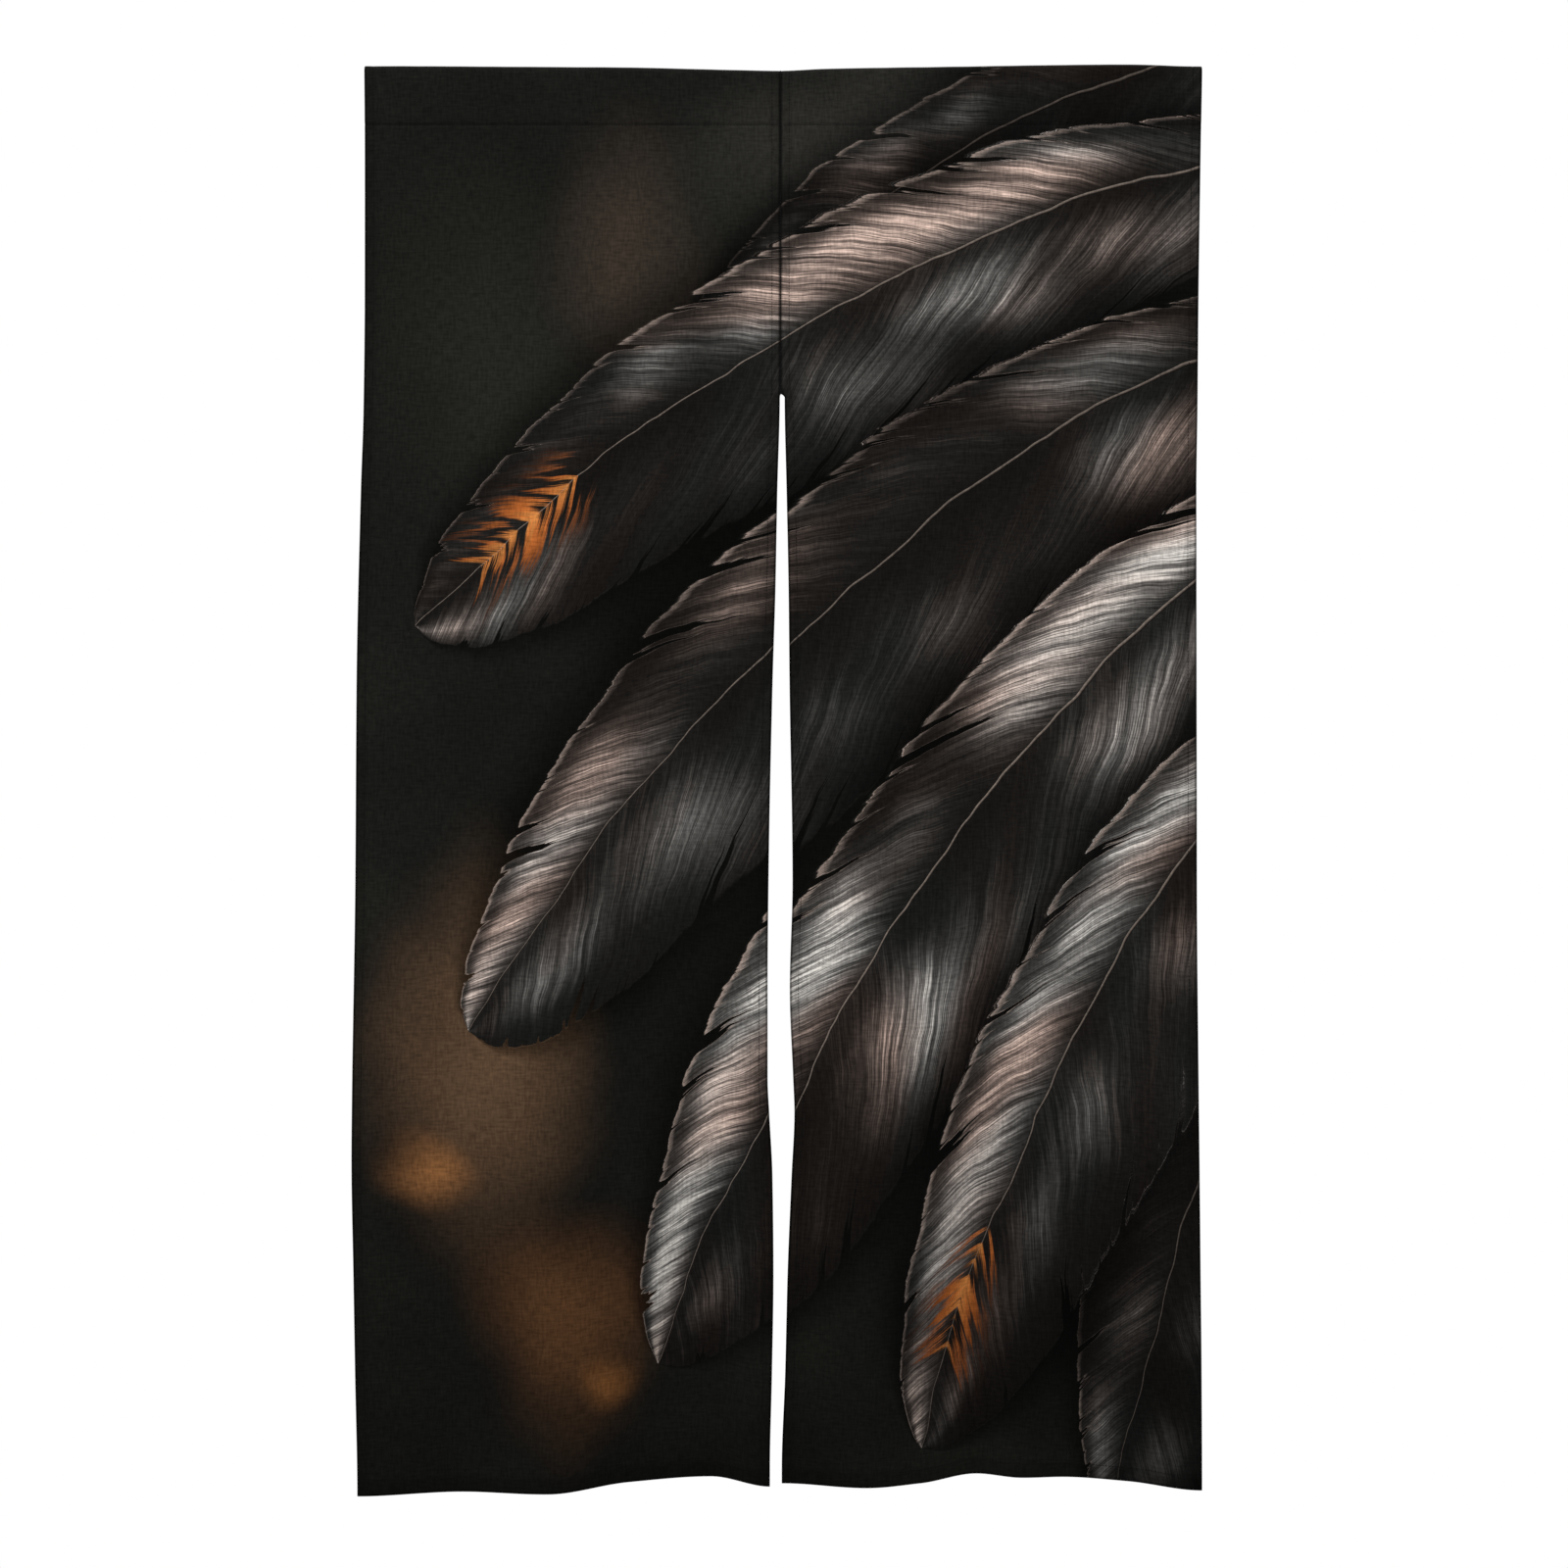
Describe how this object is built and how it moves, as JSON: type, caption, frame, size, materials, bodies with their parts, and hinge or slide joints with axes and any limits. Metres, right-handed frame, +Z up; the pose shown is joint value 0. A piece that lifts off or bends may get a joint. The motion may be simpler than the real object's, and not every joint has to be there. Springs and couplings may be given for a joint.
{
  "type": "printed blackout curtain",
  "caption": "Split doorway curtain of printed cloth: side-by-side panels seamed above a long open slit, with a rod pocket along the top edge.",
  "frame": {"origin": "on the top edge, at the seam between the panels, in line with the face of the cloth", "axes": "+Z up, +X to the right as seen from the front, -Y towards the viewer, who sees the printed face"},
  "size_m": [0.8557, 0.032, 1.4414],
  "materials": {
    "printed_cloth": "matt plain weave, printed in charcoal and brown",
    "sewing_thread": "black polyester thread"
  },
  "bodies": {
    "root": {"panel_left": "printed_cloth", "panel_right": "printed_cloth", "rod_pocket_left": "printed_cloth", "rod_pocket_right": "printed_cloth"}
  },
  "joints": []
}
